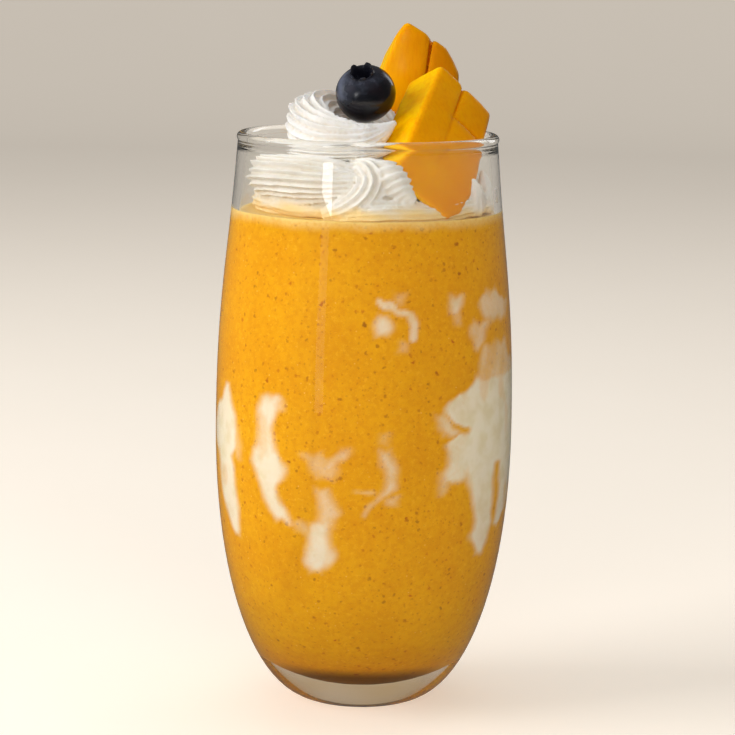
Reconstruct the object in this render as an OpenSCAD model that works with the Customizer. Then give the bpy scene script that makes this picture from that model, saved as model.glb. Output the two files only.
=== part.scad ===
// Mango smoothie in its tumbler, topped with whipped cream, a blueberry and two pieces of mango.
// Millimetres. The origin is the centre of the foot and +Z is up. The front of the drink is -Y.

/* [Tumbler] */
// Height of the tumbler from foot to rim
glass_h = 144; // [138:1:150]
// Radius at the rim
rim_r = 32.7; // [32:0.1:34]
// Radius at the widest height
belly_r = 37.4; // [36.5:0.1:39]
// Height of the widest place
belly_z = 70; // [66:1:76]
// Radius of the flat foot
foot_r = 12; // [10:0.5:14]
// Thickness of the side wall
wall = 2.0; // [1.8:0.1:2.3]
// Thickness of the clear base on the axis
base_t = 10.5; // [9.5:0.5:11.5]
// Radius of the rounded bead at the rim
bead_r = 1.25; // [1.15:0.05:1.3]

/* [Smoothie] */
// Height of the flat surface of the drink
level_z = 125; // [124:0.5:126]

/* [Whipped cream] */
// Ridges that the star nozzle leaves round a rope of cream
ridges = 10; // [8:1:12]
// Depth of the ridges as a share of the rope's radius
ridge_depth = 0.153; // [0.1:0.001:0.18]

/* [Blueberry] */
// Radius of the berry at its widest
berry_r = 7.4; // [7:0.1:7.6]
// Radius from the middle of the berry to its crown
berry_half_h = 7.0; // [6.6:0.1:7.2]

/* [Mango] */
// Length of the front piece
mango_l = 38.6; // [37:0.2:39]
// Thickness of the front piece
mango_t = 11; // [9:0.5:11.5]
// Depth of the scored cuts
score_depth = 5; // [3:0.5:6]
// Width of the scored cuts
score_gap = 0.8; // [0.5:0.1:1.2]

/* [Hidden] */
wall_fn = 96;
fine_fn = 64;
small_fn = 48;
edge_fn = 12;

// Profile of the tumbler, two curves on each side of the wall that meet at the belly
curve_steps = 14;
shoulder_z = 104;
rim_lean = 2.03;
rim_pull = 29;
foot_pull = 14.2;
foot_rise = 28;
neck_drop = 1.6;
neck_in = 0.3;
inner_pull = 25;
inner_rise = 34;

function bezier(p, t) = pow(1 - t, 3) * p[0] + 3 * pow(1 - t, 2) * t * p[1]
    + 3 * (1 - t) * t * t * p[2] + pow(t, 3) * p[3];
function curve(p, n) = [for (i = [0:n]) bezier(p, i / n)];
function tail(list) = [for (i = [1:len(list) - 1]) list[i]];

neck_r = rim_r - neck_in;
neck_z = glass_h - neck_drop;
outer_low = [[foot_r, 0], [foot_r + foot_pull, 0], [belly_r, foot_rise], [belly_r, belly_z]];
outer_high = [[belly_r, belly_z], [belly_r, shoulder_z],
    [neck_r + rim_lean, neck_z - rim_pull], [neck_r, neck_z]];
inner_low = [[0, base_t], [inner_pull, base_t], [belly_r - wall, inner_rise], [belly_r - wall, belly_z]];
inner_high = [[belly_r - wall, belly_z], [belly_r - wall, shoulder_z],
    [neck_r - wall + rim_lean, neck_z - rim_pull], [neck_r - wall, neck_z]];
outer_side = concat(curve(outer_low, curve_steps), tail(curve(outer_high, curve_steps)));
inner_side = concat(curve(inner_low, curve_steps), tail(curve(inner_high, curve_steps)));

function reversed(list) = [for (i = [len(list) - 1:-1:0]) list[i]];

// The hollow of the tumbler between two heights
module hollow(low, high, fn) {
    intersection() {
        rotate_extrude($fn = fn) polygon(concat(inner_side, [[0, neck_z]]));
        translate([0, 0, low]) cylinder(r = belly_r, h = high - low, $fn = fn);
    }
}

module glass() {
    color([0.86, 0.92, 0.93, 0.35])
    rotate_extrude($fn = wall_fn) {
        polygon(concat([[0, 0]], outer_side, reversed(inner_side)));
        translate([rim_r - bead_r, glass_h - bead_r]) circle(r = bead_r, $fn = small_fn);
    }
}

module smoothie() {
    color([0.93, 0.65, 0.12]) hollow(0, level_z, wall_fn);
}

// Ropes of piped cream
// A rope follows stations [x, y, z, radius], one list for each bend; a spline joins them.
function spline(p, i, t) =
    let (n = len(p) - 1, a = p[max(i - 1, 0)], b = p[i], c = p[min(i + 1, n)], d = p[min(i + 2, n)])
    0.5 * ((2 * b) + (c - a) * t + (2 * a - 5 * b + 4 * c - d) * t * t + (3 * b - a - 3 * c + d) * t * t * t);
function route(p, n) = [for (k = [0:n])
    let (s = k / n * (len(p) - 1), i = min(floor(s), len(p) - 2)) spline(p, i, s - i)];
function place(q) = [q[0], q[1], q[2]];
function unit(v) = v / norm(v);
// Outline of the star nozzle, unit size, teeth pointing out
function star(k) = (1 - ridge_depth * (k % 2)) * [cos(k * 180 / ridges), sin(k * 180 / ridges)];

module rope(stations, rings, side = [0, 0, 1], twist = 0) {
    r = route(stations, rings);
    m = 2 * ridges;
    points = [for (i = [0:rings])
        let (t = unit(place(r[min(i + 1, rings)]) - place(r[max(i - 1, 0)])),
            across = unit(cross(t, side)),
            up = cross(across, t),
            turn = twist * i / rings)
        for (k = [0:m - 1])
            let (s = star(k), c = cos(turn), n = sin(turn))
            place(r[i]) + r[i][3] * ((s[0] * c - s[1] * n) * across + (s[0] * n + s[1] * c) * up)];
    sides = [for (i = [0:rings - 1], k = [0:m - 1])
        let (a = i * m + k, b = i * m + (k + 1) % m) each [[a, b, a + m], [b, b + m, a + m]]];
    caps = [[for (k = [m - 1:-1:0]) k], [for (k = [0:m - 1]) rings * m + k]];
    polyhedron(points, concat(sides, caps), convexity = 8);
}

// A turn of rope round a centre: each station is [angle, ring radius, height, rope radius]
function turn_of(centre, list) = [for (q = list)
    [centre[0] + q[1] * cos(q[0]), centre[1] + q[1] * sin(q[0]), q[2], q[3]]];

top_turn = turn_of([-3, -2], [
    [-48, 13.5, 147.5, 0.8], [-66, 13, 144.6, 3.2], [-90, 12.6, 142.8, 5.2], [-120, 12, 142.8, 6.2],
    [-150, 11.6, 144.6, 6.6], [-180, 11.4, 146.8, 6.6], [-215, 11.6, 147.6, 6.4], [-250, 12, 147.2, 6.2],
    [-290, 12, 145.5, 5.8], [-325, 11, 142, 4.6]]);
low_turn = turn_of([-2, 0], [
    [-84, 23.4, 134.6, 1.6], [-97, 22.8, 133.6, 5], [-115, 21.8, 133, 7.2], [-140, 21, 133.2, 7.5],
    [-165, 21, 133, 7.4], [-195, 21, 132.2, 7.2], [-230, 21.5, 131.2, 6.8], [-265, 21.5, 131, 6.6],
    [-300, 21.5, 131, 6.6], [-330, 21.5, 131, 6.2], [-352, 21, 129.5, 4]]);
base_turn = turn_of([0, 0], [
    [-104, 27.6, 126, 2.4], [-82, 27.2, 126.4, 3.9], [-55, 27.2, 126.2, 3.6], [-25, 26.6, 127.6, 5],
    [5, 26.4, 128.4, 5.4], [35, 27, 127.6, 4.6], [70, 27.4, 127, 4.2], [110, 27.2, 126.8, 4.2],
    [160, 27.2, 126.6, 4.2], [210, 27.2, 126.6, 4.2], [254, 27.6, 126, 2.6]]);
// Where the piping starts: the rope comes down at the front and bends to the left
first_fold = [[0.4, -24.2, 142, 3.2], [2.6, -24.6, 138.2, 3.8], [2, -24.8, 134, 4], [-1.4, -24.6, 130.8, 4.2],
    [-6.5, -23.8, 129.8, 4.4], [-12.5, -22.2, 130, 4]];
// A short twisted rope that runs under the front piece of mango
short_rope = [[0.5, -21, 138.5, 4.8], [3.5, -22.2, 136.6, 4.8], [6.5, -23.4, 134.6, 3.6],
    [10.4, -25, 132.2, 1.2]];
// Mound under the ropes, and how far the cream may stand above the neck
mound_x = -2;
mound_low_r = 25;
mound_top_r = 12;
mound_h = 17;
mound_fn = 40;
above_neck = 20;

module cream_mass() {
    rope(top_turn, 28);
    rope(low_turn, 30);
    rope(base_turn, 32);
    rope(first_fold, 10, side = [0, -1, 0]);
    rope(short_rope, 6, twist = 70);
    translate([mound_x, 0, level_z - 1])
        cylinder(r1 = mound_low_r, r2 = mound_top_r, h = mound_h, $fn = mound_fn);
}

module whipped_cream() {
    color([0.97, 0.95, 0.90])
    difference() {
        intersection() {
            cream_mass();
            union() {
                hollow(level_z, neck_z, fine_fn);
                translate([0, 0, neck_z - 1])
                    cylinder(r = neck_r - wall, h = above_neck, $fn = fine_fn);
            }
        }
        berry_solid();
        front_piece();
        back_piece();
    }
}

// Blueberry
berry_place = [-0.8, -5, 154];
berry_tilt = [37, 0, -15];
crown_r = 2.5;
crown_h = 0.9;
crown_t = 0.5;
dimple_up = 1.75;
lobes = 5;
lobe_gap = 1.3;
profile_step = 7.5;
berry_side = [for (a = [-90:profile_step:90]) [max(berry_r * cos(a), 0), berry_half_h * sin(a)]];

module berry_solid() {
    translate(berry_place) rotate(berry_tilt) {
        difference() {
            rotate_extrude($fn = fine_fn) polygon(berry_side);
            translate([0, 0, berry_half_h + dimple_up]) sphere(r = crown_r, $fn = small_fn);
        }
        crown();
    }
}

// Collar with five lobes round the dimple
module crown() {
    difference() {
        translate([0, 0, berry_half_h - 1]) rotate_extrude($fn = small_fn)
            polygon([[crown_r - 2 * crown_t, 0], [crown_r - crown_t, 0],
                [crown_r + crown_t, 1 + crown_h], [crown_r, 1 + crown_h]]);
        for (i = [0:lobes - 1]) rotate([90, 0, i * 360 / lobes])
            linear_extrude(height = 2 * crown_r)
                polygon([[0, berry_half_h - 0.1], [lobe_gap, berry_half_h + crown_h + 1],
                    [-lobe_gap, berry_half_h + crown_h + 1]]);
    }
}

module blueberry() {
    color([0.10, 0.12, 0.22]) berry_solid();
}

// Mango, scored into two columns of cubes
edge_r = 0.9;
back_edge_r = 1.6;
half_gap = score_gap / 2 + edge_r;

// A piece is a list of stations up its length: [height, left edge, cut between the columns, right edge,
// thickness, slope of the level line], each seen on the scored face. lookup() joins them.
function at(piece, y, k) = lookup(y, [for (s = piece) [s[0], s[k]]]);
// A point on the level line of height y, dx to the side of edge k
function spot(piece, y, k, dx) = let (x = at(piece, y, k) + dx) [x, y + at(piece, y, 5) * x];

// Depth of the cuts at a height, shallower where the piece is thin
// Flesh left under a cut where the piece is thin
flesh_left = 1.2;
function cut_depth(piece, y) = min(score_depth, at(piece, y, 4) - flesh_left);

// The uncut flesh behind the scored face, as a chain of spans between the stations. Its left side leans
// out by the flare, its right side leans in, and its top slopes down to the back by the drop.
module flesh(piece, flare, drop) {
    last = len(piece) - 1;
    for (i = [0:last - 1])
        hull() for (y = [piece[i][0], piece[i + 1][0]]) {
            back_z = back_edge_r - at(piece, y, 4);
            fall = y == piece[last][0] ? drop : 0;
            for (q = [spot(piece, y, 1, edge_r), spot(piece, y, 3, -edge_r)])
                translate([q[0], q[1], -cut_depth(piece, y)]) sphere(r = edge_r, $fn = edge_fn);
            for (q = [spot(piece, y, 1, back_edge_r - flare), spot(piece, y, 3, -back_edge_r - 1)])
                translate([q[0], q[1] - fall, back_z]) sphere(r = back_edge_r, $fn = edge_fn);
        }
}

// Cubes of one column, between edge k_left and edge k_right, parted by cuts at the given heights
module column(piece, k_left, k_right, in_left, in_right, cuts) {
    for (i = [0:len(cuts) - 2]) {
        low = cuts[i] + (i == 0 ? 0 : half_gap);
        high = cuts[i + 1] - (i == len(cuts) - 2 ? 0 : half_gap);
        hull() for (y = [low, high], z = [-cut_depth(piece, y) - edge_r / 2, -edge_r],
                q = [spot(piece, y, k_left, in_left), spot(piece, y, k_right, -in_right)])
            translate([q[0], q[1], z]) sphere(r = edge_r, $fn = edge_fn);
    }
}

module scored_piece(piece, flare, drop, cuts_left, cuts_right) {
    flesh(piece, flare, drop);
    column(piece, 1, 2, edge_r, half_gap, cuts_left);
    column(piece, 2, 3, half_gap, edge_r, cuts_right);
}

front_place = [18.8, -25.6, 126.2];
front_turn = 42;
front_tilt = 61;
front_spin = -44;
front_flare = 2.8;
front_drop = 3;
front_low = 2.4;
front_high = mango_l - edge_r;
front_cuts_left = [front_low, front_high];
front_cross_down = 10.4;
front_cuts_right = [front_low, mango_l - front_cross_down, front_high];
front_stations = [
    [front_low, -15.8, -7, 1.6, 3.4, 0],
    [6.5, -15.8, -7.2, 3.4, 7, 0],
    [13, -15.6, -7.4, 3.6, 10, 0],
    [21, -15.4, -7.6, 3.4, mango_t, 0],
    [30, -15.2, -7.7, 2, mango_t, -0.1],
    [front_high, -15.2, -7.7, 0.9, mango_t - 1.5, -0.19]];

module front_piece() {
    translate(front_place) rotate([front_tilt, 0, front_turn]) rotate([0, 0, front_spin])
        scored_piece(front_stations, front_flare, front_drop, front_cuts_left, front_cuts_right);
}

back_place = [11.3, 12.2, 131.8];
back_turn = -4;
back_tilt = 86;
back_t = 9;
back_flare = 0.6;
back_drop = 0.5;
back_cuts_left = [1, 14, 37];
back_cuts_right = [1, 17, 37];
back_stations = [
    [1, -5, 0, 6, 6.5, 0],
    [14, -9, 0.6, 9.6, back_t, 0],
    [24, -9.8, 1.2, 11.2, back_t, -0.15],
    [31, -6.4, 2.7, 10.4, back_t - 1, -0.4],
    [37, -2.6, 4, 7.7, back_t - 2, -0.57]];

module back_piece() {
    translate(back_place) rotate([back_tilt, 0, back_turn])
        scored_piece(back_stations, back_flare, back_drop, back_cuts_left, back_cuts_right);
}

module mango_front() {
    color([1.0, 0.72, 0.05]) front_piece();
}

module mango_back() {
    color([1.0, 0.70, 0.05]) back_piece();
}

glass();
smoothie();
whipped_cream();
blueberry();
mango_front();
mango_back();
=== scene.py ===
import math
import bmesh
import bpy
import numpy as np
from mathutils import Matrix, Vector, noise


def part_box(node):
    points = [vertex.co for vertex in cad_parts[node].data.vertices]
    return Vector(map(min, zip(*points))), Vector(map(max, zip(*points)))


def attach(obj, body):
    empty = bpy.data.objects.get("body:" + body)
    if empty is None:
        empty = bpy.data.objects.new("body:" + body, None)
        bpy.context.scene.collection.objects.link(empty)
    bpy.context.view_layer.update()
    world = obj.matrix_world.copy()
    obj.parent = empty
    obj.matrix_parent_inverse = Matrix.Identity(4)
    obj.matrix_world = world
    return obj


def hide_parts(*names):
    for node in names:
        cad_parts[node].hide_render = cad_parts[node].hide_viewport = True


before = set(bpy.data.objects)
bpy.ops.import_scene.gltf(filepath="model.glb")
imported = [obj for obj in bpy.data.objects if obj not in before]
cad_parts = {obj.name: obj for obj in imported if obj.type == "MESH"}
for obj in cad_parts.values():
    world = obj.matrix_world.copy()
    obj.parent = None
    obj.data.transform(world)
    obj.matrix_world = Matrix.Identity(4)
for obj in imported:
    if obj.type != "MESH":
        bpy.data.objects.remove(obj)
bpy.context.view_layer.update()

mm = 0.001
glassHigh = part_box("glass")[1]
drinkLow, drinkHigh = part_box("smoothie")
glassHeight = glassHigh.z / mm
bellyRadius = glassHigh.x / mm
drinkTop = drinkHigh.z / mm
baseThickness = drinkLow.z / mm


def makePiece(name, points, faces):
    # points are in millimetres, in the frame of the drink
    mesh = bpy.data.meshes.new(name)
    mesh.from_pydata((np.asarray(points, float) * mm).tolist(), [], [tuple(f) for f in faces])
    mesh.validate()
    mesh.shade_smooth()
    piece = bpy.data.objects.new(name, mesh)
    bpy.context.scene.collection.objects.link(piece)
    return piece


def quadGrid(rows, columns):
    # faces of a grid that closes on itself sideways
    r = np.arange(rows - 1)[:, None] * columns
    c = np.arange(columns)[None, :]
    d = (c + 1) % columns
    return np.stack([r + c, r + d, r + d + columns, r + c + columns], -1).reshape(-1, 4)


def revolve(profile, segments):
    profile = np.asarray(profile, float)
    angle = np.linspace(0, 2 * math.pi, segments, endpoint=False)
    x = profile[:, 0:1] * np.cos(angle)
    y = profile[:, 0:1] * np.sin(angle)
    z = np.repeat(profile[:, 1:2], segments, 1)
    return np.stack([x, y, z], -1).reshape(-1, 3), quadGrid(len(profile), segments)


def weld(piece, distance=1e-6):
    # joins doubled points and turns every face outwards
    edit = bmesh.new()
    edit.from_mesh(piece.data)
    bmesh.ops.remove_doubles(edit, verts=edit.verts, dist=distance)
    bmesh.ops.recalc_face_normals(edit, faces=edit.faces)
    edit.to_mesh(piece.data)
    edit.free()
    piece.data.shade_smooth()
    return piece


def getPoints(piece):
    points = np.empty(len(piece.data.vertices) * 3)
    piece.data.vertices.foreach_get("co", points)
    return points.reshape(-1, 3) / mm


def setPoints(piece, points):
    piece.data.vertices.foreach_set("co", (points * mm).ravel())
    piece.data.update()


def getNormals(piece):
    normals = np.empty(len(piece.data.vertices) * 3)
    piece.data.vertices.foreach_get("normal", normals)
    return normals.reshape(-1, 3)


def paint(piece, name, values):
    layer = piece.data.attributes.new(name, "FLOAT", "POINT")
    layer.data.foreach_set("value", np.asarray(values, np.float32))


def noiseAt(points, scale, seed=0.0):
    # smooth noise from -1 to 1 at points in millimetres; scale is the size of its lumps
    offset = Vector((seed * 7.13, seed * 3.71, seed * 5.37))
    return np.array([noise.noise(Vector(p) / scale + offset) for p in points.tolist()])


def smoothStep(low, high, values):
    t = np.clip((values - low) / (high - low), 0, 1)
    return t * t * (3 - 2 * t)


def applyAll(piece):
    graph = bpy.context.evaluated_depsgraph_get()
    mesh = bpy.data.meshes.new_from_object(piece.evaluated_get(graph))
    piece.modifiers.clear()
    piece.data = mesh
    piece.data.shade_smooth()
    return piece


def joinPieces(name, parts):
    points, faces, start = [], [], 0
    for p, f in parts:
        points.append(np.asarray(p, float))
        faces += [[i + start for i in face] for face in f]
        start += len(p)
    return makePiece(name, np.concatenate(points), faces)


def voxelRemesh(piece, size):
    change = piece.modifiers.new("remesh", "REMESH")
    change.mode = "VOXEL"
    change.voxel_size = size * mm
    return applyAll(piece)


def smoothMesh(piece, factor, times):
    change = piece.modifiers.new("smooth", "SMOOTH")
    change.factor = factor
    change.iterations = times
    return applyAll(piece)


def thinOut(piece, triangles):
    # merges the least needed faces until that many triangles are left
    count = sum(len(f.vertices) - 2 for f in piece.data.polygons)
    change = piece.modifiers.new("thin", "DECIMATE")
    change.ratio = min(1, triangles / count)
    return applyAll(piece)


def finish(piece, node, material):
    piece.data.materials.clear()
    piece.data.materials.append(material)
    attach(piece, "root")
    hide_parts(node)


def srgb(red, green, blue):
    # a colour given as it looks, 0 to 255
    def linear(c):
        c = c / 255
        return c / 12.92 if c <= 0.04045 else ((c + 0.055) / 1.055) ** 2.4
    return (linear(red), linear(green), linear(blue), 1)


class Nodes:
    # a short way to put shader nodes together
    def __init__(self, name):
        self.material = bpy.data.materials.new(name)
        self.material.use_nodes = True
        self.tree = self.material.node_tree
        self.tree.nodes.clear()
        self.output = self.add("ShaderNodeOutputMaterial")
        self.shader = self.add("ShaderNodeBsdfPrincipled")
        self.link(self.shader.outputs[0], self.output.inputs["Surface"])

    def add(self, kind, **settings):
        node = self.tree.nodes.new(kind)
        for key, value in settings.items():
            setattr(node, key, value)
        return node

    def link(self, a, b):
        self.tree.links.new(a, b)

    def feed(self, socket, value):
        if isinstance(value, bpy.types.NodeSocket):
            self.link(value, socket)
        else:
            socket.default_value = value

    def place(self):
        return self.add("ShaderNodeTexCoord").outputs["Object"]

    def stretched(self, x, y, z):
        node = self.add("ShaderNodeMapping")
        self.link(self.place(), node.inputs["Vector"])
        node.inputs["Scale"].default_value = (x, y, z)
        return node.outputs[0]

    def noise(self, size, detail=3.0, rough=0.55, at=None):
        # size is the size of the lumps in millimetres
        node = self.add("ShaderNodeTexNoise")
        self.link(at or self.place(), node.inputs["Vector"])
        node.inputs["Scale"].default_value = 1 / (size * mm)
        node.inputs["Detail"].default_value = detail
        node.inputs["Roughness"].default_value = rough
        return node.outputs[0]

    def cells(self, size, at=None):
        node = self.add("ShaderNodeTexVoronoi")
        self.link(at or self.place(), node.inputs["Vector"])
        node.inputs["Scale"].default_value = 1 / (size * mm)
        return node.outputs["Distance"], node.outputs["Color"]

    def warped(self, size, amount):
        # places pushed about a little, so that what is drawn on them isn't regular; both in millimetres
        push = self.add("ShaderNodeTexNoise")
        self.link(self.place(), push.inputs["Vector"])
        push.inputs["Scale"].default_value = 1 / (size * mm)
        scaled = self.add("ShaderNodeVectorMath", operation="MULTIPLY_ADD")
        self.link(push.outputs["Color"], scaled.inputs[0])
        scaled.inputs[1].default_value = (amount * mm,) * 3
        self.link(self.place(), scaled.inputs[2])
        return scaled.outputs[0]

    def math(self, kind, a, b=0.0, clamp=False):
        node = self.add("ShaderNodeMath", operation=kind, use_clamp=clamp)
        self.feed(node.inputs[0], a)
        self.feed(node.inputs[1], b)
        return node.outputs[0]

    def range(self, value, low, high, toLow=0.0, toHigh=1.0):
        node = self.add("ShaderNodeMapRange", interpolation_type="SMOOTHSTEP")
        for socket, v in zip(node.inputs, (value, low, high, toLow, toHigh)):
            self.feed(socket, v)
        return node.outputs[0]

    def mix(self, factor, a, b):
        node = self.add("ShaderNodeMix", data_type="RGBA")
        self.feed(node.inputs["Factor"], factor)
        self.feed(node.inputs[6], a)
        self.feed(node.inputs[7], b)
        return node.outputs[2]

    def painted(self, name):
        return self.add("ShaderNodeAttribute", attribute_name=name).outputs["Fac"]

    def part(self, colour, index=0):
        node = self.add("ShaderNodeSeparateColor")
        self.link(colour, node.inputs[0])
        return node.outputs[index]

    def bump(self, height, distance, strength=1.0):
        node = self.add("ShaderNodeBump")
        self.link(height, node.inputs["Height"])
        node.inputs["Distance"].default_value = distance * mm
        node.inputs["Strength"].default_value = strength
        self.link(node.outputs[0], self.shader.inputs["Normal"])

    def set(self, **values):
        for key, value in values.items():
            self.feed(self.shader.inputs[key.replace("_", " ")], value)


tumblerOptions = {
    "segments": 192,
    "steps": 26,             # points along each curve of the side
    "rimRadius": 32.7,
    "beadRadius": 1.25,
    "wall": 2.0,
    # where the curves of the side end and which way they pull, radii and heights
    "neckIn": 0.3,
    "neckDrop": 1.6,
    "rimLean": 2.03,
    "rimPull": 29,
    "shoulderHeight": 104,
    "bellyHeight": 70,
    "footRadius": 12,
    "footPull": 26.2,
    "footRise": 28,
    "innerPull": 25,
    "innerRise": 34,
    "tint": srgb(252, 252, 250),
    # painted light: the drink's colour as light brings it through the thick foot
    "footDrinkLight": srgb(214, 182, 122),
    "lampTint": srgb(247, 247, 245),   # lamp light that has come through the glass
    "ior": 1.48,
}


def bezier(a, b, c, d, steps):
    t = np.linspace(0, 1, steps)[:, None]
    a, b, c, d = (np.array(p, float) for p in (a, b, c, d))
    return (1 - t) ** 3 * a + 3 * (1 - t) ** 2 * t * b + 3 * (1 - t) * t * t * c + t ** 3 * d


def sideCurve(inner):
    # radius and height from the foot to just under the rim
    o = tumblerOptions
    belly, neck = bellyRadius, o["rimRadius"] - o["neckIn"]
    middle, neckHeight = o["bellyHeight"], glassHeight - o["neckDrop"]
    if inner:
        belly, neck = belly - o["wall"], neck - o["wall"]
        low = bezier((0, baseThickness), (o["innerPull"], baseThickness), (belly, o["innerRise"]),
                     (belly, middle), o["steps"])
    else:
        low = bezier((o["footRadius"], 0), (o["footPull"], 0), (belly, o["footRise"]), (belly, middle),
                     o["steps"])
    high = bezier((belly, middle), (belly, o["shoulderHeight"]),
                  (neck + o["rimLean"], neckHeight - o["rimPull"]), (neck, neckHeight), o["steps"])
    return np.concatenate([low, high[1:]])


def makeTumbler():
    o = tumblerOptions
    beadCentre = (o["rimRadius"] - o["beadRadius"], glassHeight - o["beadRadius"])
    turn = np.radians(np.linspace(-40, 220, 20))
    bead = np.array(beadCentre) + o["beadRadius"] * np.stack([np.cos(turn), np.sin(turn)], 1)
    below = bead[0, 1] - 0.25
    outer, inner = sideCurve(False), sideCurve(True)
    outer, inner = outer[outer[:, 1] < below], inner[inner[:, 1] < below]
    foot = [[0, 0], [6, 0]]
    profile = np.concatenate([foot, outer, bead, inner[::-1]])
    piece = weld(makePiece("tumbler", *revolve(profile, o["segments"])))
    points = getPoints(piece)
    patchy = noiseAt(points, 9, 51) * 0.3
    # painted light in the foot: tinted low down, paler to the right where a painted reflection stands
    paint(piece, "foot", smoothStep(baseThickness + 5, baseThickness - 2, points[:, 2])
          * np.clip(0.85 + patchy - 0.7 * smoothStep(12, 25, points[:, 0]), 0, 1))
    n = Nodes("clearGlass")
    # painted light: the thick foot is tinted with the drink's colour that light carries through it, and
    # kept paler to the right as a painted reflection
    n.set(Base_Color=n.mix(n.painted("foot"), o["tint"], o["footDrinkLight"]))
    n.set(Transmission_Weight=1.0, IOR=o["ior"], Specular_IOR_Level=0.3)
    n.set(Roughness=n.range(n.noise(18, 2), 0.5, 0.8, 0.0, 0.012))
    # faint unevenness of pressed glass
    n.bump(n.noise(14, 1.0, at=n.stretched(1, 1, 0.35)), 0.05, 0.35)
    # light from the lamps passes straight through to what is inside
    clear = n.add("ShaderNodeBsdfTransparent")
    clear.inputs[0].default_value = o["lampTint"]
    either = n.add("ShaderNodeMixShader")
    n.link(n.add("ShaderNodeLightPath").outputs["Is Shadow Ray"], either.inputs[0])
    n.link(n.shader.outputs[0], either.inputs[1])
    n.link(clear.outputs[0], either.inputs[2])
    n.link(either.outputs[0], n.output.inputs["Surface"])
    finish(piece, "glass", n.material)
    print("tumbler:", len(piece.data.polygons), "faces")


smoothieOptions = {
    "intoWall": 0.3,         # how far the drink reaches into the wall
    "columns": 300,
    "rows": 230,
    "colour": srgb(234, 174, 9),
    "deep": srgb(217, 146, 2),
    "pale": srgb(248, 198, 44),
    "speck": srgb(196, 98, 6),
    "darkSpeck": srgb(150, 84, 12),
    "bubble": srgb(252, 216, 120),
    "foam": srgb(250, 221, 144),
    "yoghurt": srgb(240, 233, 214),
    "yoghurtShade": srgb(230, 220, 190),
    # painted shade at the bottom of the drink
    "under": srgb(64, 42, 12),
    "topRise": 0.35,
}

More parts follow.
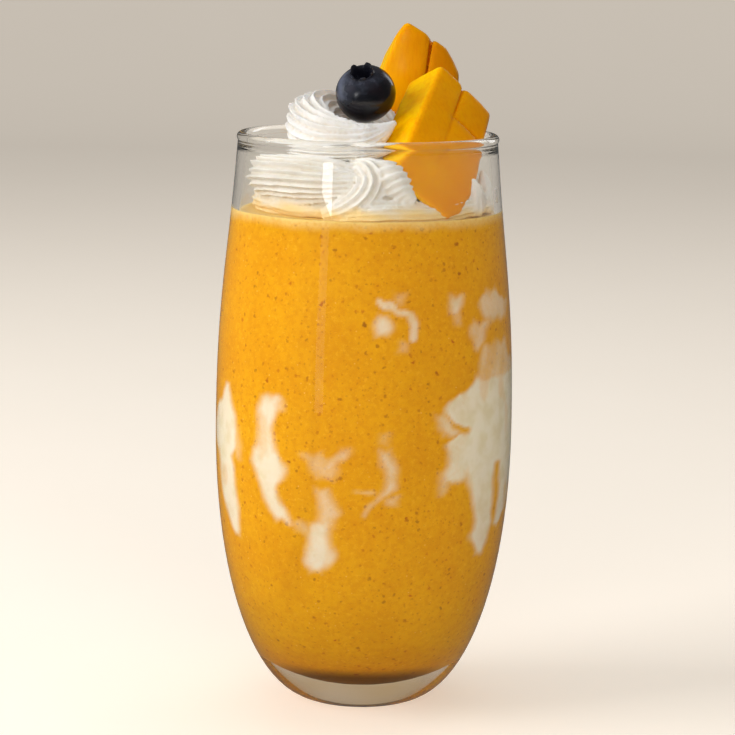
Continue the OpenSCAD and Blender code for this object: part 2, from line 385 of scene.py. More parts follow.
# Yoghurt on the wall: each patch is rows of (height, left, right) in degrees round from the front,
# positive to the right, with how white it is.
yoghurtPatches = [
    (1.0, [(82, -68, -66), (78, -73, -63), (75, -80, -60), (71, -84, -59), (67, -82, -59),
          (65, -77, -63), (62, -76, -61), (57, -75, -60), (52, -71, -59), (47, -66, -60),
          (45, -63, -61)]),
    (0.3, [(72, -60, -57), (68, -60, -55), (65, -59, -56)]),
    (0.95, [(81.5, -43, -34), (78, -45, -36), (74, -45, -38), (70, -45, -37), (68, -47, -36),
          (65, -48, -32), (62, -46, -33), (59, -43.5, -36), (56, -41, -34), (54, -39, -31),
          (51.5, -35, -30)]),
    (0.5, [(81, -40, -33), (79, -36.5, -32.5)]),
    (0.35, [(68.5, -24, -17), (66, -20, -10), (63, -17, -12)]),
    (0.5, [(70.5, -8, -4.5), (69, -10.5, -5.5), (67.5, -13, -9), (66, -15, -11), (64.5, -17, -14)]),
    (0.55, [(60, -17.5, -13.5), (57.5, -17, -12), (55, -17, -9.5), (53.5, -17, -11), (51, -19, -12)]),
    (0.9, [(52, -20, -13), (49.5, -22, -13.5), (47, -21.5, -13), (44, -22.5, -11.5), (41.5, -23.5, -14),
          (39.5, -21, -18)]),
    (0.35, [(51.5, -27.5, -20.5), (49, -26, -20)]),
    (0.4, [(74, 7.5, 9.5), (72, 7, 8.5)]),
    (0.75, [(70, 6.8, 9.5), (67, 8, 12.3), (65, 9.2, 13.2), (62.5, 9.7, 13), (60.5, 8.5, 12.2),
          (59, 6.5, 9.4)]),
    (0.5, [(58.3, 9, 13.5), (57, 9.5, 12)]),
    (0.8, [(102.5, 6, 8), (101, 4, 10), (99.5, 4.3, 10.2), (98, 5.3, 8.5)]),
    (0.4, [(108, 12.5, 16), (106, 11.5, 14.5)]),
    (0.35, [(96, 15, 16.5), (94.5, 14, 16)]),
    (0.85, [(106.5, 36.5, 42), (104.5, 35.5, 41.5), (102.5, 36, 39.5)]),
    (0.5, [(102, 37.5, 40.5), (100, 38.5, 40.5)]),
    (0.6, [(107, 58, 63), (105, 53, 71), (103, 53, 79), (100, 56, 75)]),
    (0.5, [(100, 49, 60), (99, 46.5, 59), (97.5, 46, 56), (95.5, 47.5, 54.5), (93.5, 48.5, 50)]),
    (0.5, [(94, 54, 73), (90, 51.5, 76), (87, 51, 88), (85, 50, 95)]),
    (1.0, [(86, 50, 100), (83.5, 43.5, 104), (81.5, 36, 106), (79, 33.5, 108), (77, 35.5, 108),
          (75.5, 41.5, 106), (74, 46, 104), (72, 44, 102), (70, 40, 101), (66, 39, 100), (64, 41, 98)]),
    (0.85, [(73, 42, 60), (71.5, 34.5, 60), (69, 35, 60), (66, 35, 60), (64, 33.5, 60), (62.5, 34, 58),
          (61.5, 38, 52)]),
    (1.0, [(66, 44, 62.5), (62, 44, 62.5), (60, 46, 62.5), (57, 48.5, 63), (54, 50, 64), (52, 51.5, 63),
          (49, 51.5, 64), (46.5, 49.5, 62.5), (44, 53, 62), (42, 56, 60)]),
    (0.9, [(66, 67, 98), (61, 67.5, 93), (57.5, 68.5, 84), (52, 68, 82), (48, 66.5, 70)]),
    (0.7, [(78, 30.2, 32), (75.5, 31.2, 35.5), (73.5, 33, 39)]),
    (0.45, [(64, 31.7, 38), (61.5, 31.4, 36), (59, 31.6, 34.5)]),
    # the side away from the front
    (0.95, [(96, 128, 137), (92, 124, 140), (87, 126, 138), (82, 131, 141), (77, 128, 144),
          (71, 130, 140), (64, 135, 142), (60, 137, 140)]),
    (0.55, [(70, 141, 149), (64, 142, 151), (57, 146, 150)]),
    (0.8, [(62, 160, 168), (58, 157, 171), (53, 160, 170), (47, 163, 169), (43, 164, 167)]),
    (0.45, [(104, 158, 164), (101, 155, 168), (98, 158, 164)]),
    (0.9, [(88, -168, -161), (83, -171, -158), (78, -168, -160), (73, -170, -157), (66, -167, -158),
          (60, -164, -160)]),
    (0.5, [(60, -160, -153), (55, -158, -150), (51, -155, -151)]),
    (0.85, [(80, -124, -118), (75, -128, -116), (69, -125, -117), (63, -122, -113), (56, -119, -112),
          (50, -117, -114)]),
    (0.4, [(101, -137, -131), (97, -139, -129), (94, -136, -132)]),
    (0.5, [(46, -134, -127), (42, -136, -124), (38, -131, -127)]),
]
# thin curls of yoghurt: (whiteness, half width in mm, points of height and degrees)
yoghurtCurls = [
    (0.7, 0.8, [(106, 6), (104.3, 12), (103, 18), (100.7, 19.6), (97.8, 19.2)]),
    (0.6, 0.5, [(105, 8), (103.6, 13)]),
    (0.35, 0.4, [(60, -3), (59.6, 1), (59.8, 4)]),
    (0.35, 0.4, [(54, 1), (56.5, 3), (58.8, 7)]),
    (0.5, 0.7, [(95, 118), (92, 122), (87, 123)]),
    (0.5, 0.7, [(72, 172), (68, 176), (62, 175), (58, 178)]),
    (0.5, 0.6, [(92, -150), (88, -146), (83, -147)]),
]


def yoghurtMask(degrees, height, radius):
    # wander of the edges, drawn out along the height
    place = np.stack([degrees * radius * math.pi / 180, height * 0.55, np.zeros(len(height))], 1)
    wander = noiseAt(place, 3.2, 1) * 1.0 + noiseAt(place, 1.1, 2) * 0.45
    lift = noiseAt(place, 2.6, 3) * 1.1
    mask = np.zeros(len(height))
    z = height + lift
    perDegree = radius * math.pi / 180
    for white, rows in yoghurtPatches:
        rows = routeOf([(*row, 0) for row in rows[::-1]], 6 * len(rows))
        left, right = (np.interp(z, rows[:, 0], rows[:, i]) for i in (1, 2))
        inside = np.minimum(degrees - left, right - degrees) * perDegree
        ends = np.minimum(z - rows[0, 0], rows[-1, 0] - z)
        depth = np.minimum(inside, ends * 1.4) + wander * 0.6
        mask = np.maximum(mask, white * smoothStep(-1.7, 1.7, depth))
    for white, half, points in yoghurtCurls:
        p = np.array([(d * perDegree.mean(), h) for h, d in points])
        here = np.stack([degrees * perDegree.mean(), z], 1)
        near = np.full(len(z), 1e9)
        for a, b in zip(p[:-1], p[1:]):
            t = np.clip((here - a) @ (b - a) / ((b - a) @ (b - a)), 0, 1)
            near = np.minimum(near, np.linalg.norm(here - a - t[:, None] * (b - a), axis=1))
        mask = np.maximum(mask, white * smoothStep(half + 0.5, half - 0.6, near + wander * 0.3))
    # thin places where the drink shows through
    return mask * (1 - 0.35 * smoothStep(0.15, 0.6, noiseAt(place, 4.5, 4)))


def makeSmoothie():
    o = smoothieOptions
    side = sideCurve(True)
    side = side[side[:, 1] < drinkTop]
    slope = np.gradient(side, axis=0)
    slope /= np.linalg.norm(slope, axis=1)[:, None]
    side = side + o["intoWall"] * np.stack([slope[:, 1], -slope[:, 0]], 1)
    side[0, 0] = 0
    side = np.concatenate([side, [[np.interp(drinkTop, side[:, 1], side[:, 0]), drinkTop]]])
    # even steps along the side
    run = np.concatenate([[0], np.cumsum(np.linalg.norm(np.diff(side, axis=0), axis=1))])
    even = np.linspace(0, run[-1], o["rows"])
    side = np.stack([np.interp(even, run, side[:, 0]), np.interp(even, run, side[:, 1])], 1)
    rimRadius = side[-1, 0]
    across = np.linspace(0, 1, 26)[1:]
    top = np.stack([rimRadius * (1 - across), drinkTop + o["topRise"] * (np.exp(-across * 18) - 1)], 1)
    points, faces = revolve(np.concatenate([side, top]), o["columns"])
    flat = np.repeat(np.concatenate([np.zeros(len(side)), np.ones(len(top))]), o["columns"])
    lumps = noiseAt(points, 5, 5) * 0.12
    points[:, 2] += flat * lumps * (np.hypot(points[:, 0], points[:, 1]) < rimRadius - 0.5)
    piece = weld(makePiece("drink", points, faces))
    points = getPoints(piece)
    radius = np.hypot(points[:, 0], points[:, 1])
    degrees = np.degrees(np.arctan2(points[:, 0], -points[:, 1]))
    mask = yoghurtMask(degrees, points[:, 2], np.maximum(radius, 20))
    wall = smoothStep(14, 22, points[:, 2]) * (points[:, 2] < drinkTop - 1)
    paint(piece, "yoghurt", mask * wall)
    wave = noiseAt(np.stack([points[:, 0], points[:, 1], np.zeros(len(points))], 1), 6, 6)
    paint(piece, "foam", smoothStep(drinkTop - 3.0, drinkTop + 0.1, points[:, 2] + 0.9 * wave))
    # painted shade where the drink curves under into the clear base
    paint(piece, "under", 0.85 * smoothStep(baseThickness + 3.4, baseThickness + 0.6, points[:, 2]))
    n = Nodes("mangoSmoothie")
    cloudy = n.range(n.noise(16, 3), 0.35, 0.7)
    mottled = n.range(n.noise(1.6, 4, 0.7), 0.4, 0.64)
    base = n.mix(n.math("MULTIPLY", cloudy, 0.35), o["colour"], o["deep"])
    base = n.mix(n.math("MULTIPLY", mottled, 0.42), base, o["deep"])
    pulp = n.range(n.noise(0.9, 2), 0.56, 0.74)
    base = n.mix(n.math("MULTIPLY", pulp, 0.4), base, o["pale"])
    # specks of fruit: only some cells of each size hold one
    for size, share, reach, strong in ((2.6, 0.5, 0.24, 0.6), (1.5, 0.4, 0.3, 0.4), (1.0, 0.3, 0.34, 0.3),
                                       (5.5, 0.5, 0.13, 0.85)):
        distance, colour = n.cells(size, n.warped(size * 0.35, size * 0.5))
        chosen = n.math("LESS_THAN", n.part(colour, 0), share)
        dot = n.range(distance, reach, reach * 0.3)
        amount = n.math("MULTIPLY", n.math("MULTIPLY", dot, chosen), strong)
        base = n.mix(amount, base, n.mix(n.part(colour, 1), o["speck"], o["darkSpeck"]))
    # small pale bubbles
    distance, colour = n.cells(1.1)
    bubble = n.math("MULTIPLY", n.range(distance, 0.22, 0.12), n.math("LESS_THAN", n.part(colour, 2), 0.07))
    base = n.mix(n.math("MULTIPLY", bubble, 0.4), base, o["bubble"])
    foam = n.math("MULTIPLY", n.painted("foam"), n.range(n.noise(0.9, 3), 0.2, 0.6, 0.55, 1.0))
    base = n.mix(n.math("MULTIPLY", foam, 0.85), base, o["foam"])
    # the grain of the yoghurt only shows where there is some
    there = n.math("MULTIPLY", n.painted("yoghurt"), 3.0, clamp=True)
    grain = n.math("MULTIPLY", n.math("MULTIPLY", n.math("SUBTRACT", n.noise(0.8, 3), 0.5), 0.3), there)
    white = n.math("MULTIPLY", n.math("ADD", n.painted("yoghurt"), grain), 1.1, clamp=True)
    base = n.mix(white, base, n.mix(n.range(n.noise(5, 2), 0.4, 0.7), o["yoghurt"], o["yoghurtShade"]))
    # painted shade: dim where the drink curves under into the clear base
    base = n.mix(n.painted("under"), base, o["under"])
    n.set(Base_Color=base, Roughness=0.55, IOR=1.36, Specular_IOR_Level=0.3)
    n.set(Subsurface_Weight=0.12, Subsurface_Scale=0.0025, Subsurface_Radius=(1.0, 0.6, 0.25))
    n.bump(n.noise(0.9, 3), 0.08, 0.5)
    finish(piece, "smoothie", n.material)
    print("smoothie:", len(piece.data.polygons), "faces")


creamOptions = {
    "voxel": 0.36,
    "triangles": 196000,
    "topTeeth": 17,          # teeth of the star nozzle
    "depth": 0.3,            # depth of the ridges as a share of the rope's radius
    "roughCrest": 0.16,      # mm
    "cream": srgb(242, 241, 240),
    "creamShade": srgb(236, 233, 228),
    # painted shade in the hollows
    "hollow": srgb(214, 200, 176),
    "stain": srgb(246, 213, 132),
}


def routeOf(stations, rings):
    p = np.array(stations, float)
    p = np.concatenate([2 * p[:1] - p[1:2], p, 2 * p[-1:] - p[-2:-1]])
    out = []
    for s in np.linspace(0, len(stations) - 1, rings):
        i = min(int(s), len(stations) - 2)
        t = s - i
        a, b, c, d = p[i:i + 4]
        bend = (2 * a - 5 * b + 4 * c - d) * t * t + (3 * b - a - 3 * c + d) * t ** 3
        out.append(0.5 * (2 * b + (c - a) * t + bend))
    return np.array(out)


def turnRound(centre, stations):
    # stations of (degrees, ring radius, height, rope radius) round a centre
    return [(centre[0] + r * math.cos(math.radians(a)), centre[1] + r * math.sin(math.radians(a)), z, w)
            for a, r, z, w in stations]


def starRope(stations, rings, teeth, depth, twist=0.0, side=(0, 0, 1), seed=1.0):
    # sweeps the star nozzle's outline along a route; the ridges run along the rope
    route = routeOf(stations, rings)
    centre, radius = route[:, :3], np.maximum(route[:, 3], 0.15)
    along = np.gradient(centre, axis=0)
    along /= np.linalg.norm(along, axis=1)[:, None]
    across = np.cross(along, side)
    across /= np.linalg.norm(across, axis=1)[:, None]
    up = np.cross(across, along)
    perTooth = 8
    count = teeth * perTooth
    phase = np.arange(count) / perTooth
    saw = np.abs((phase % 1) * 2 - 1)
    crest = 0.7 * saw ** 1.25 + 0.3 * np.sin(saw * math.pi / 2)
    tooth = np.floor(phase + 0.5) % teeth
    toothSize = 1 + 0.35 * np.array([noise.noise(Vector((t * 1.7, seed, 4.4))) for t in tooth])
    shape = 1 - depth * (1 - crest * toothSize)
    angle = 2 * math.pi * np.arange(count) / count
    turn = np.radians(twist) * np.linspace(0, 1, rings)[:, None]
    run = np.concatenate([[0], np.cumsum(np.linalg.norm(np.diff(centre, axis=0), axis=1))])
    ring = [(math.cos(a) * 1.4 + seed, math.sin(a) * 1.4) for a in angle]
    wobble = np.array([[noise.noise(Vector((r * 0.22, *p))) for p in ring] for r in run])
    size = radius[:, None] * (shape[None, :] + 0.05 * wobble)
    cosine, sine = np.cos(angle[None, :] + turn), np.sin(angle[None, :] + turn)
    points = (centre[:, None, :] + (size * cosine)[..., None] * across[:, None, :]
              + (size * sine)[..., None] * up[:, None, :]).reshape(-1, 3)
    faces = [list(f) for f in quadGrid(rings, count)]
    faces.append(list(range(count))[::-1])
    faces.append(list(range((rings - 1) * count, rings * count)))
    return points, faces


topTurn = turnRound((-3, -2), [
    (-46, 14, 147.6, 0.5), (-66, 13, 144.6, 3.2), (-90, 12.6, 142.8, 5.2), (-120, 12, 142.8, 6.2),
    (-150, 11.6, 144.6, 6.6), (-180, 11.4, 146.8, 6.6), (-215, 11.6, 147.6, 6.4), (-250, 12, 147.2, 6.2),
    (-290, 12, 145.5, 5.8), (-325, 11, 142, 4.6)])
lowTurn = turnRound((-2, 0), [
    (-84, 23.4, 134.6, 1.6), (-97, 22.8, 133.8, 5), (-115, 21.6, 134, 6.8), (-140, 20.8, 134.2, 7.1),
    (-165, 20.8, 133.8, 7.2), (-195, 21, 132.2, 7.2), (-230, 21.5, 131.2, 6.8), (-265, 21.5, 131, 6.6),
    (-300, 21.5, 131, 6.6), (-330, 21.5, 131, 6.2), (-352, 21, 129.5, 4)])
baseTurn = turnRound((0, 0), [
    (-110, 25.6, 124.8, 1.4), (-98, 27.0, 125.8, 2.8), (-82, 27.2, 126.4, 3.9), (-55, 27.2, 126.2, 3.6),
    (-25, 26.6, 127.6, 4.6),
    (5, 26.4, 128, 4.8), (35, 27, 127.6, 4.6), (70, 27.4, 127, 4.2), (110, 27.2, 126.8, 4.2),
    (160, 26.4, 126.6, 4.2), (200, 22.5, 126.4, 4.0), (236, 20.5, 126, 3.4), (256, 20.5, 126, 2.6)])
firstFold = [
    (-2.0, -17.5, 137.4, 3.6), (0.2, -22.2, 136.4, 4.4), (0.8, -24.8, 133.4, 4.6),
    (-1.2, -25.6, 130.2, 4.4), (-5.2, -25.4, 127.4, 3.6), (-10.4, -24.8, 125.6, 2.0)]
shortRope = [
    (1.0, -20.5, 136.6, 3.6), (4.2, -23.8, 135.6, 4.4), (7.0, -25.2, 133.2, 4.2), (9.6, -26.0, 130.8, 2.6),
    (11.4, -26.6, 129.4, 0.8)]
# three shells that stand up against the wall at the right
rightShells = [
    [(24.6, -14.5, 125.5, 3.0), (25.4, -14.6, 128.5, 3.0), (25.6, -14.4, 131.5, 2.0),
     (25.2, -14.0, 134.2, 0.5)],
    [(27.6, -7.5, 125.5, 2.8), (28.4, -7.4, 129, 2.9), (28.5, -7.2, 132.2, 1.9), (28.0, -6.8, 135.6, 0.5)],
    [(27.0, 2.0, 125.5, 3.2), (27.4, 2.4, 129.5, 3.3), (27.0, 2.8, 132.5, 2.0), (26.4, 3.2, 134.6, 0.5)],
]


def makeMound():
    profile = [(0, 124.5), (24, 124.5), (23.5, 128), (22, 133), (17, 138.5), (12, 141.8), (6, 143),
               (0, 143.2)]
    profile = routeOf([(r, z, 0, 0) for r, z in profile], 40)[:, :2]
    profile[:, 0] = np.maximum(profile[:, 0], 0)
    points, faces = revolve(profile, 90)
    points[:, 0] -= 2 * (points[:, 2] > 126)
    points += (noiseAt(points, 6, 9) * 0.5)[:, None] * np.array([0.6, 0.6, 1])
    return points, [list(f) for f in faces]


def innerRadius(height):
    side = sideCurve(True)
    return np.interp(height, side[:, 1], side[:, 0])


def makeCream():
    o = creamOptions
    parts = [
        makeMound(),
        starRope(topTurn, 150, o["topTeeth"], o["depth"], twist=35, seed=1),
        starRope(lowTurn, 200, 23, 0.27, twist=30, seed=2),
        starRope(baseTurn, 260, 17, 0.3, twist=40, seed=3),
        starRope(firstFold, 60, 13, 0.3, side=(0, -1, 0), twist=15, seed=4),
        starRope(shortRope, 120, 4, 0.24, twist=760, seed=5),
    ]
    for i, shell in enumerate(rightShells):
        parts.append(starRope(shell, 30, 9, 0.26, side=(1, 0, 0), twist=25, seed=6 + i))
    piece = weld(joinPieces("whippedCream", parts), 1e-9)
    voxelRemesh(piece, o["voxel"])
    smoothMesh(piece, 0.5, 1)
    points, normals = getPoints(piece), getNormals(piece)
    # torn, bubbly surface
    rough = noiseAt(points, 0.9, 11) * 0.6 + noiseAt(points, 2.2, 12) * 0.6
    points += normals * (rough * o["roughCrest"])[:, None]
    points[:, 2] = np.maximum(points[:, 2], drinkTop - 0.4)
    setPoints(piece, points)
    # pressed flat where it meets the wall
    holdInside(piece, -0.06)
    thinOut(piece, o["triangles"])
    # painted shade in the valleys between the ridges
    paintHollows(piece, "hollow")
    # the lowest cream has taken up some of the drink
    points = getPoints(piece)
    height = points[:, 2] + 1.8 * noiseAt(points, 4, 13)
    paint(piece, "stain", 0.8 * smoothStep(drinkTop + 4.2, drinkTop + 0.5, height))
    n = Nodes("whippedCream")
    # painted shade: the hollows are darker
    shade = n.math("MULTIPLY", n.painted("hollow"), 1.0, clamp=True)
    tone = n.mix(n.range(n.noise(7, 2), 0.35, 0.7), o["cream"], o["creamShade"])
    tone = n.mix(shade, tone, o["hollow"])
    n.set(Base_Color=n.mix(n.painted("stain"), tone, o["stain"]))
    n.set(Roughness=n.range(n.noise(1.2, 3), 0.3, 0.7, 0.42, 0.6), IOR=1.4)
    n.set(Subsurface_Weight=0.16, Subsurface_Scale=0.0012, Subsurface_Radius=(1.0, 0.8, 0.55))
    pits = n.cells(0.75)[0]
    height = n.math("ADD", n.noise(0.6, 3), n.math("MULTIPLY", pits, 0.6))
    n.bump(height, 0.12, 0.55)
    finish(piece, "whipped_cream", n.material)
    print("cream:", len(piece.data.polygons), "faces")


def paintHollows(piece, name, wide=6, gain=2.2):
    # how far each point lies below its surroundings, from 0 to 1, used for painted shade in hollows
    mesh = piece.data
    edges = np.empty(len(mesh.edges) * 2, np.int32)
    mesh.edges.foreach_get("vertices", edges)
    a, b = edges.reshape(-1, 2).T
    points, normals = getPoints(piece), getNormals(piece)
    count = np.bincount(np.concatenate([a, b]), minlength=len(points)).astype(float)
    mean = points.copy()
    for _ in range(wide):
        total = np.stack([np.bincount(a, mean[b, k], len(points)) + np.bincount(b, mean[a, k], len(points))
                          for k in range(3)], 1)
        mean = total / np.maximum(count, 1)[:, None]
    depth = np.einsum("ij,ij->i", mean - points, normals)
    paint(piece, name, np.clip(depth * gain, 0, 1))


berryOptions = {
    "centre": (-0.8, -5, 154),
    "tilt": (37, -15),       # how far it leans forward, and how far it is turned
    "radius": 7.4,
    "half": 7.0,
    "lobes": 5,
    "litShoulder": (-0.72, -0.56, 0.4),   # the way the shoulder faces, towards the lamps at the left front; its bloom is partly a painted highlight
    "skin": srgb(6, 7, 13),
    "skinPatch": srgb(20, 10, 16),
    "crown": srgb(12, 12, 20),
    "bloomAndHighlight": srgb(118, 126, 148),
}


def makeBerry():
    o = berryOptions
    profile = [(0, 3.2), (0.9, 3.1), (1.7, 3.9), (2.0, 5.2), (2.25, 6.6), (2.75, 7.35), (3.05, 7.2),
               (2.85, 6.55), (3.3, 6.15)]
    start = math.radians(62)
    body = [(o["radius"] * math.cos(a), o["half"] * math.sin(a))
            for a in np.linspace(start, -math.pi / 2, 44)]
    profile = np.array(profile + body)
    profile[-1, 0] = 0
    columns = 150
    points, faces = revolve(profile, columns)
    angle = np.arctan2(points[:, 1], points[:, 0])
    row = np.repeat(np.arange(len(profile)), columns)
    # five pointed lobes on the collar, none quite like the next
    wave = np.cos(o["lobes"] * angle + 0.6 * np.sin(angle + 1)) + 0.3 * np.sin(2 * angle + 0.4)
    lobe = np.where((row >= 4) & (row <= 6), 1.0, 0.0)
    spread = lobe * smoothStep(-0.9, 0.8, wave)
    points[:, 2] += (spread - 0.75 * lobe) * 0.95
    points[:, :2] *= (1 + 0.13 * (spread - 0.4 * lobe))[:, None]
    skin = row > 8
    lump = noiseAt(points, 6, 21) * 0.16 + noiseAt(points, 2.2, 22) * 0.03
    points[skin] *= (1 + lump[skin] / o["radius"])[:, None]
    piece = weld(makePiece("berry", points, faces))
    local = getPoints(piece)
    paint(piece, "crown", smoothStep(3.6, 2.9, np.hypot(local[:, 0], local[:, 1])) * (local[:, 2] > 2.5))
    paint(piece, "up", local[:, 2] / o["half"])
    lean, turn = o["tilt"]
    place = (Matrix.Translation(Vector(o["centre"]) * mm) @ Matrix.Rotation(math.radians(turn), 4, "Z")
             @ Matrix.Rotation(math.radians(lean), 4, "X"))
    piece.data.transform(place)
    outward = getPoints(piece) - np.array(o["centre"])
    outward /= np.linalg.norm(outward, axis=1)[:, None]
    # painted highlight on the shoulder that faces the lamps at the left front
    paint(piece, "litShoulder", smoothStep(0.62, 0.98, outward @ np.array(o["litShoulder"])))
    change = piece.modifiers.new("round", "SUBSURF")
    change.levels = change.render_levels = 1
    applyAll(piece)
    n = Nodes("blueberrySkin")
    patches = n.range(n.noise(5.5, 4, 0.6), 0.44, 0.7)
    # the bloom lies mostly round the crown; on the shoulder facing the lamps at the left front it is a
    # painted highlight
    ring = n.math("MAXIMUM", n.range(n.painted("up"), 0.55, 1.0, 0.06, 0.8), n.painted("litShoulder"))
    patches = n.math("ADD", 0.14, n.math("MULTIPLY", patches, 0.45))
    bloomAndHighlight = n.math("MULTIPLY", patches, ring, clamp=True)
    skin = n.mix(n.range(n.noise(2.5, 3), 0.4, 0.65), o["skin"], o["skinPatch"])
    # bloom round the crown, painted highlight on the shoulder
    colour = n.mix(bloomAndHighlight, skin, o["bloomAndHighlight"])
    colour = n.mix(n.math("MULTIPLY", n.painted("crown"), 0.8), colour, o["crown"])
    n.set(Base_Color=colour, Roughness=n.math("ADD", 0.2, n.math("MULTIPLY", bloomAndHighlight, 0.45)), IOR=1.45)
    n.set(Specular_IOR_Level=0.5)
    n.bump(n.noise(0.8, 3), 0.05, 0.5)
    finish(piece, "blueberry", n.material)
    print("blueberry:", len(piece.data.polygons), "faces")


mangoOptions = {
    "voxel": 0.23,
    "edge": 1.3,             # radius of the rounded edges
    "cutDepth": 4.8,
    "valley": 1.0,           # how far beside a cut the flesh sinks
    "cutWidth": 0.85,        # width of a cut at the surface; it closes towards its foot
    "yellow": srgb(255, 198, 4),
    "orange": srgb(246, 150, 0),
    "deep": srgb(222, 116, 0),
    # painted shade: the colours below darken the scored face, the side away from the key lamp and the
    # insides of the cuts
    "face": srgb(245, 160, 0),
    "sideShade": srgb(228, 128, 0),
    "grooveShade": srgb(214, 112, 0),
}

# Each piece is a block: corners of the scored face and of the back, in millimetres, with x across,
# y up and z out of the scored face. A cut runs between two points of the face.
frontPiece = {
    "place": (18.8, -25.6, 126.2), "turns": (61, 42, -44),
    "face": [(-15.2, 41.3), (0.8, 38.2), (2.0, 29.5), (3.8, 20), (3.8, 10), (2.8, 3.5), (0.6, 0.2),
             (-15.8, 0.2)],
    "back": [(-17.6, 38.3), (-2, 35.4), (0.6, 22), (0.4, 12), (-18.2, 14.5)],
    "thick": 10.6,
    # each cut: from, to, and how much of its depth it has where it starts
    "cuts": [((-7.2, 12), (-7.8, 44), 0.15), ((-7.5, 28.8), (8, 27.0), 0.6)],
    "sideShade": (-14, 14),       # from here to here across it turns from yellow to orange, a painted shade on the side away from the key lamp
    "crown": (-2, 0.006),    # where the face stands highest, and how fast it falls away to the sides
}
backPiece = {
    "place": (11.3, 12.2, 131.8), "turns": (86, -4, 0),
    "face": [(-2.3, 38.9), (3.9, 35.7), (7.6, 33.2), (9.3, 30.4), (11.0, 26.6), (10.4, 15), (7, 1), (-5, 1),
             (-9.2, 14), (-9.4, 25), (-7.0, 31), (-4.2, 36.4)],
    "back": [(-3.4, 37.6), (3.2, 34.6), (8.4, 29.5), (9.8, 24), (9.2, 14), (6, 1), (-5.5, 1), (-10, 14),
             (-10.2, 25), (-8, 31)],
    "thick": 8.4,
    "cuts": [((-0.6, -2), (4.4, 37), 0.6), ((0.6, 17.5), (14, 15.5), 0.8), ((-14, 14.5), (0.4, 13.5), 0.8)],
    "sideShade": (-7, 8),
    "crown": (0.5, 0.03),
}


def ball(centre, radius):
    # a few points on a small sphere, the rounded corner of a block
    points = []
    for i in range(7):
        up = math.radians(-90 + 30 * i)
        for j in range(12):
            a = math.radians(30 * j)
            points.append((centre[0] + radius * math.cos(up) * math.cos(a),
                           centre[1] + radius * math.cos(up) * math.sin(a),
                           centre[2] + radius * math.sin(up)))
    return points


def hullOf(points):
    edit = bmesh.new()
    for p in points:
        edit.verts.new(p)
    result = bmesh.ops.convex_hull(edit, input=edit.verts)
    inside = result["geom_interior"] + result["geom_unused"]
    loose = {v for v in inside if isinstance(v, bmesh.types.BMVert)}
    bmesh.ops.delete(edit, geom=list(loose), context="VERTS")
    edit.verts.index_update()
    out = [tuple(v.co) for v in edit.verts], [[v.index for v in f.verts] for f in edit.faces]
    edit.free()
    return out


def roundedBlock(spec):
    edge = mangoOptions["edge"]
    middle = np.mean(np.array(spec["face"]), axis=0)
    cloud = []
    for corners, z in ((spec["face"], -edge), (spec["back"], edge - spec["thick"])):
        for p in corners:
            inward = (middle - p) / np.linalg.norm(middle - p) * edge
            cloud += ball((p[0] + inward[0], p[1] + inward[1], z), edge)
    return hullOf(cloud)


def cutWedge(start, end, startDepth):
    # a thin wedge, open at the scored face and closed at the foot of the cut
    o = mangoOptions
    a, b = np.array(start, float), np.array(end, float)
    side = np.array([a[1] - b[1], b[0] - a[0]])
    side *= o["cutWidth"] / 2 / np.linalg.norm(side)
    rise = 1.5
    spread = 1 + rise / o["cutDepth"]
    points = []
    for p, share in ((a, startDepth), (b, 1)):
        wide = side * spread * share
        points += [(*(p + wide), rise), (*(p - wide), rise), (*p, -o["cutDepth"] * share)]
    return points, [(0, 1, 2), (3, 5, 4), (0, 3, 4, 1), (1, 4, 5, 2), (2, 5, 3, 0)]


def subtract(piece, points, faces):
    tool = weld(makePiece("cutTool", points, faces))
    change = piece.modifiers.new("cut", "BOOLEAN")
    change.operation = "DIFFERENCE"
    change.solver = "EXACT"
    change.object = tool
    applyAll(piece)
    bpy.data.objects.remove(tool)


def holdInside(piece, clearance):
    # keeps what stands in the tumbler off its wall
    points = getPoints(piece)
    radius = np.hypot(points[:, 0], points[:, 1])
    limit = innerRadius(points[:, 2]) - clearance
    squeeze = np.minimum(1, limit / np.maximum(radius, 1e-6))
    inGlass = points[:, 2] < glassHeight - 1
    points[inGlass, :2] *= squeeze[inGlass, None]
    setPoints(piece, points)


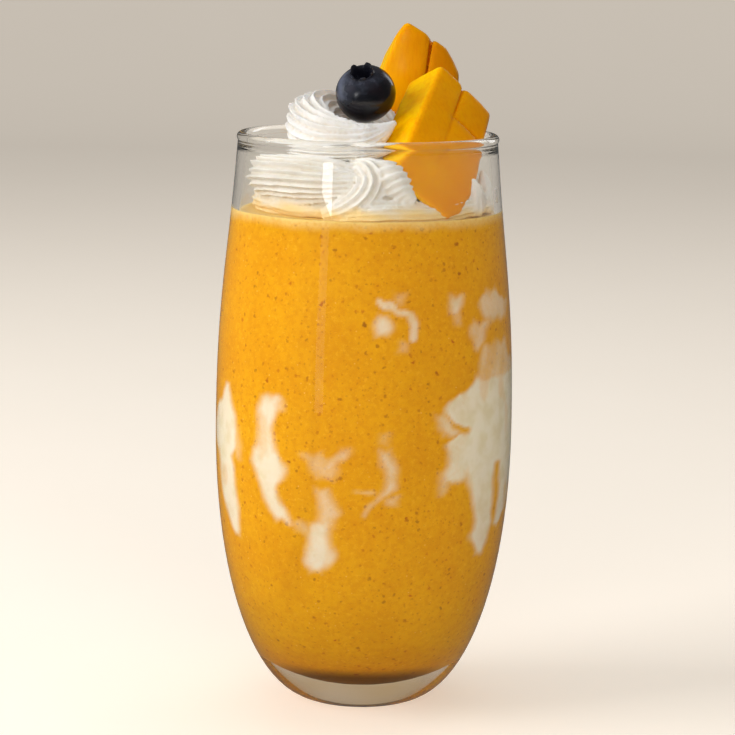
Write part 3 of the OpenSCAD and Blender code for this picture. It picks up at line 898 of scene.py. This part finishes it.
def makeMango(name, spec, seed):
    o = mangoOptions
    piece = weld(makePiece(name, *roundedBlock(spec)))
    for cut in spec["cuts"]:
        subtract(piece, *cutWedge(*cut))
    voxelRemesh(piece, o["voxel"])
    smoothMesh(piece, 0.5, 5)
    points, normals = getPoints(piece), getNormals(piece)
    # painted shade inside each cut
    grooveShade = np.zeros(len(points))
    for start, end, share in spec["cuts"]:
        a, b = np.array(start, float), np.array(end, float)
        along = (b - a) / np.linalg.norm(b - a)
        run = np.clip((points[:, :2] - a) @ along, 0, None)
        aside = np.linalg.norm(points[:, :2] - a - run[:, None] * along, axis=1)
        strength = share + (1 - share) * np.clip(run / np.linalg.norm(b - a), 0, 1)
        near = strength * np.exp(-(aside / o["valley"]) ** 2) * (points[:, 2] > -o["cutDepth"] * 1.3)
        inCut = smoothStep(0.75, 0.15, aside) * smoothStep(-4, -1, points[:, 2])
        grooveShade = np.maximum(grooveShade, strength * inCut)
        # the flesh sinks a little beside a cut, and the far edge is nicked where the cut leaves it
        points[:, 2] -= 0.3 * near
        leaving = smoothStep(0.8, 1.0, run / max(run.max(), 1e-6)) * near
        points[:, :2] -= (0.9 * leaving)[:, None] * along
    middle, fall = spec["crown"]
    points[:, 2] -= fall * (points[:, 0] - middle) ** 2 * smoothStep(-spec["thick"], -2, points[:, 2])
    # knife cuts are never quite flat
    wave = noiseAt(points, 11, seed) * 0.35 + noiseAt(points, 4, seed + 1) * 0.09
    setPoints(piece, points + normals * wave[:, None])
    tilt, turn, spin = spec["turns"]
    place = (Matrix.Translation(Vector(spec["place"]) * mm) @ Matrix.Rotation(math.radians(turn), 4, "Z")
             @ Matrix.Rotation(math.radians(tilt), 4, "X") @ Matrix.Rotation(math.radians(spin), 4, "Z"))
    # painted shade: the scored face, the insides of the cuts, the side away from the key lamp and the
    # hollows are painted deeper orange
    paint(piece, "face", smoothStep(0.2, 0.95, getNormals(piece)[:, 2]))
    paint(piece, "grooveShade", grooveShade)
    paint(piece, "sideShade", smoothStep(spec["sideShade"][0], spec["sideShade"][1], points[:, 0]))
    paintHollows(piece, "hollow", 8, 1.4)
    piece.data.transform(place)
    holdInside(piece, 0.15)
    return piece


def mangoMaterial():
    o = mangoOptions
    n = Nodes("mangoFlesh")
    cloudy = n.range(n.noise(9, 3), 0.35, 0.7)
    colour = n.mix(n.math("MULTIPLY", cloudy, 0.55), o["yellow"], o["orange"])
    # painted shade on the scored face, turned from the key lamp
    colour = n.mix(n.math("MULTIPLY", n.painted("face"), 0.8), colour, o["face"])
    fibre = n.range(n.noise(0.9, 3, at=n.stretched(1, 1, 0.22)), 0.42, 0.7)
    colour = n.mix(n.math("MULTIPLY", fibre, 0.22), colour, o["deep"])
    # painted shade towards the side away from the key lamp
    colour = n.mix(n.math("MULTIPLY", n.painted("sideShade"), 0.55), colour, o["sideShade"])
    # painted shade in the hollows
    colour = n.mix(n.math("MULTIPLY", n.painted("hollow"), 0.5), colour, o["deep"])
    # painted shade inside the cuts
    colour = n.mix(n.math("MULTIPLY", n.painted("grooveShade"), 0.6), colour, o["grooveShade"])
    n.set(Base_Color=colour, Roughness=n.range(n.noise(4, 3), 0.35, 0.7, 0.28, 0.45), IOR=1.4)
    n.set(Subsurface_Weight=0.25, Subsurface_Scale=0.003, Subsurface_Radius=(1.0, 0.45, 0.1))
    n.set(Coat_Weight=0.05, Coat_Roughness=0.2, Coat_IOR=1.33, Specular_IOR_Level=0.14)
    height = n.math("ADD", n.noise(0.7, 3, at=n.stretched(1, 1, 0.3)), n.noise(2.4, 2))
    n.bump(height, 0.12, 0.4)
    return n.material


floorOptions = {
    # in metres
    "flat": 1.7,
    "bend": 0.6,
    "top": 2.6,
    "pale": srgb(240, 233, 224),
    "shade": srgb(236, 229, 219),
    "glow": srgb(240, 228, 212),
    "glowStrength": 0.4,
}


def makeFloor():
    # a round sheet that lies flat and sweeps up all round
    o = floorOptions
    flat, bend, top = o["flat"], o["bend"], o["top"]
    profile = [(r, 0) for r in np.linspace(0, flat, 8)]
    profile += [(flat + bend * math.sin(a), bend - bend * math.cos(a))
                for a in np.linspace(0.1, math.pi / 2, 16)]
    profile += [(flat + bend, top)]
    floor = weld(makePiece("floor", *revolve(np.array(profile) / mm, 96)))
    n = Nodes("paleSweep")
    n.set(Base_Color=n.mix(n.noise(60, 3), o["pale"], o["shade"]), Roughness=0.7)
    n.set(Emission_Color=o["glow"], Emission_Strength=o["glowStrength"])
    floor.data.materials.append(n.material)
    # the sweep only shows itself: it neither mirrors in the glass nor lights the drink from below
    floor.visible_glossy = False
    floor.visible_diffuse = False
    print("floor laid")


def areaLamp(name, place, target, size, power, colour=(1, 1, 1)):
    lamp = bpy.data.lights.new(name, "AREA")
    lamp.shape = "RECTANGLE"
    lamp.size, lamp.size_y = size
    lamp.energy = power
    lamp.color = colour
    holder = bpy.data.objects.new(name, lamp)
    bpy.context.scene.collection.objects.link(holder)
    holder.location = place
    holder.rotation_mode = "QUATERNION"
    holder.rotation_quaternion = (Vector(place) - Vector(target)).to_track_quat("Z", "Y")
    return holder


def around(degrees, distance, height):
    # a place round the drink; 0 is in front and positive goes to the right
    a = math.radians(degrees)
    return (distance * math.sin(a), -distance * math.cos(a), height)


lampOptions = {
    # name: degrees round, distance, height, size of the lamp, watts, colour, shows in reflections
    "keyLamp": (-78, 0.95, 0.55, (0.7, 0.8), 9.5, (1.0, 0.98, 0.95), False),
    "frontLamp": (4, 1.3, 0.6, (1.3, 0.9), 9.2, (1.0, 0.99, 0.97), False),
    "stripLamp": (-33, 0.45, 0.2, (0.07, 0.078), 0.15, (1, 1, 1), True),
    "lowStrip": (-33, 0.45, 0.09, (0.05, 0.14), 0.013, (1, 1, 1), True),
    "edgeLamp": (-97, 0.9, 0.35, (0.07, 0.25), 0.35, (1, 1, 1), True),
    "topLamp": (180, 0.3, 1.2, (0.9, 0.9), 4.4, (1, 1, 1), False),
    "backLamp": (140, 1.1, 0.5, (0.3, 0.7), 1.5, (0.95, 0.97, 1.0), True),
}


worldOptions = {
    "colour": srgb(228, 226, 222),
    "strength": 0.16,
}


def makeLights():
    for name, (degrees, distance, height, size, power, colour, shows) in lampOptions.items():
        lamp = areaLamp(name, around(degrees, distance, height), (0, 0, 0.1), size, power, colour)
        # a lamp that shows in reflections does only that
        lamp.visible_glossy = shows
        lamp.visible_diffuse = not shows
        # light already passes straight through the glass, so it isn't counted again when bent
        lamp.visible_transmission = False
    world = bpy.data.worlds.new("studio")
    bpy.context.scene.world = world
    world.use_nodes = True
    back = world.node_tree.nodes["Background"]
    back.inputs["Color"].default_value = worldOptions["colour"]
    back.inputs["Strength"].default_value = worldOptions["strength"]
    print("lamps:", len(lampOptions))


cameraOptions = {
    "distance": 0.7,
    "lens": 135.8,
    "elevation": 9.2,
    "roll": 0.9,
    "target": (0.00076, 0, 0.0847),
}


def makeCamera():
    o = cameraOptions
    e, r = math.radians(o["elevation"]), math.radians(o["roll"])
    forward = Vector((0, math.cos(e), -math.sin(e)))
    up, right = Vector((0, math.sin(e), math.cos(e))), Vector((1, 0, 0))
    x = right * math.cos(r) + up * math.sin(r)
    y = up * math.cos(r) - right * math.sin(r)
    data = bpy.data.cameras.new("camera")
    data.lens, data.sensor_width = o["lens"], 36
    data.clip_start, data.clip_end = 0.01, 20
    camera = bpy.data.objects.new("camera", data)
    bpy.context.scene.collection.objects.link(camera)
    place = Vector(o["target"]) - forward * o["distance"]
    camera.matrix_world = Matrix.Translation(place) @ Matrix((x, y, -forward)).transposed().to_4x4()
    bpy.context.scene.camera = camera
    print("camera placed")


makeTumbler()
makeSmoothie()
makeCream()
makeBerry()
mangoFlesh = mangoMaterial()
mangoPieces = (("mangoFront", frontPiece, "mango_front", 31), ("mangoBack", backPiece, "mango_back", 41))
for pieceName, spec, node, seed in mangoPieces:
    mango = makeMango(pieceName, spec, seed)
    finish(mango, node, mangoFlesh)
    print(pieceName + ":", len(mango.data.polygons), "faces")
makeFloor()
makeLights()
makeCamera()
bpy.context.scene.view_settings.view_transform = "Standard"
